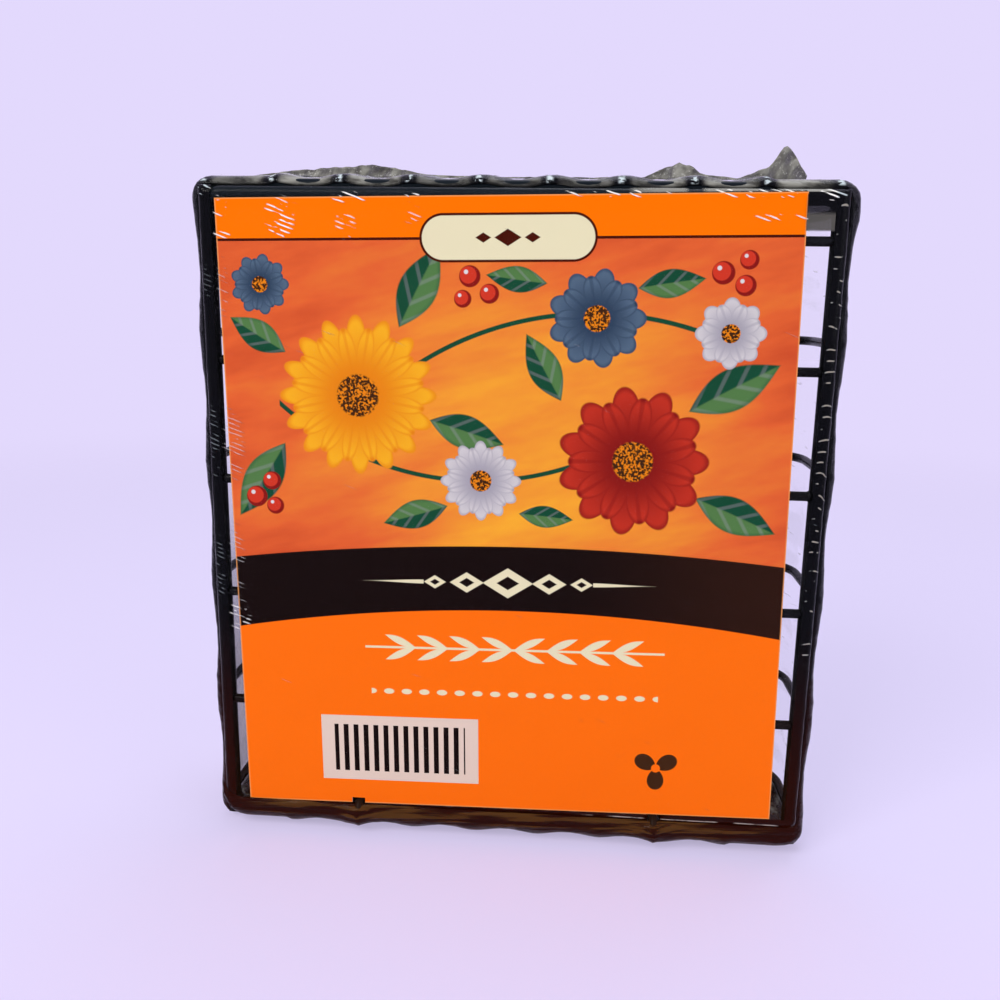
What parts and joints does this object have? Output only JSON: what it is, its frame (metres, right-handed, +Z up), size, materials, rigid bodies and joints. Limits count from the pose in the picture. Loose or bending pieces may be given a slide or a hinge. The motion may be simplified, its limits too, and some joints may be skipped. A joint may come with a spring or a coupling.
{
  "type": "suet feeder",
  "caption": "Shallow upright wire cage for a cake of suet, with a front door hinged at the bottom, a hanging chain, a display card and a clear shrink film round it.",
  "frame": {"origin": "bottom centre of the whole part's bounding box, on the surface that the feeder stands on", "axes": "+X to the right as seen from the card's side, +Y from the card to the back, +Z up"},
  "size_m": [0.1372, 0.0414, 0.1555],
  "materials": {
    "black_wire": "gloss black powder coat",
    "plated_chain": "bright zinc plate",
    "printed_card": "printed and varnished",
    "clear_film": "clear shrink film"
  },
  "bodies": {
    "basket": {"basket_rim": "black_wire", "basket_level_wire_1": "black_wire", "basket_level_wire_2": "black_wire", "basket_level_wire_3": "black_wire", "basket_level_wire_4": "black_wire", "basket_level_wire_5": "black_wire", "basket_level_wire_6": "black_wire", "basket_loop_wire_1": "black_wire", "basket_loop_wire_2": "black_wire", "basket_loop_wire_3": "black_wire", "basket_loop_wire_4": "black_wire", "basket_loop_wire_5": "black_wire", "basket_loop_wire_6": "black_wire", "basket_loop_wire_7": "black_wire", "basket_loop_wire_8": "black_wire", "hinge_ring_left": "black_wire", "hinge_ring_right": "black_wire", "film_left": "clear_film", "film_right": "clear_film", "film_bottom": "clear_film", "film_back": "clear_film", "film_top": "clear_film", "film_seam": "clear_film"},
    "door": {"door_frame": "black_wire", "door_upright_1": "black_wire", "door_upright_2": "black_wire", "door_upright_3": "black_wire", "door_upright_4": "black_wire", "door_upright_5": "black_wire", "door_upright_6": "black_wire", "door_upright_7": "black_wire", "door_upright_8": "black_wire", "door_bar_1": "black_wire", "door_bar_2": "black_wire", "door_bar_3": "black_wire", "door_bar_4": "black_wire", "door_bar_5": "black_wire", "display_card": "printed_card", "film_front": "clear_film"},
    "chain": {"chain_links": "plated_chain", "chain_hook": "plated_chain"}
  },
  "joints": [
    {"name": "door_hinge", "type": "hinge", "parent": "basket", "child": "door", "pos_m": [0, -0.01707, 0.0052], "axis": [1, 0, 0], "range_deg": [0, 160]},
    {"name": "chain_swing", "type": "hinge", "parent": "basket", "child": "chain", "pos_m": [0, 0.01153, 0.1474], "axis": [1, 0, 0], "range_deg": [-10, 0.5]}
  ]
}
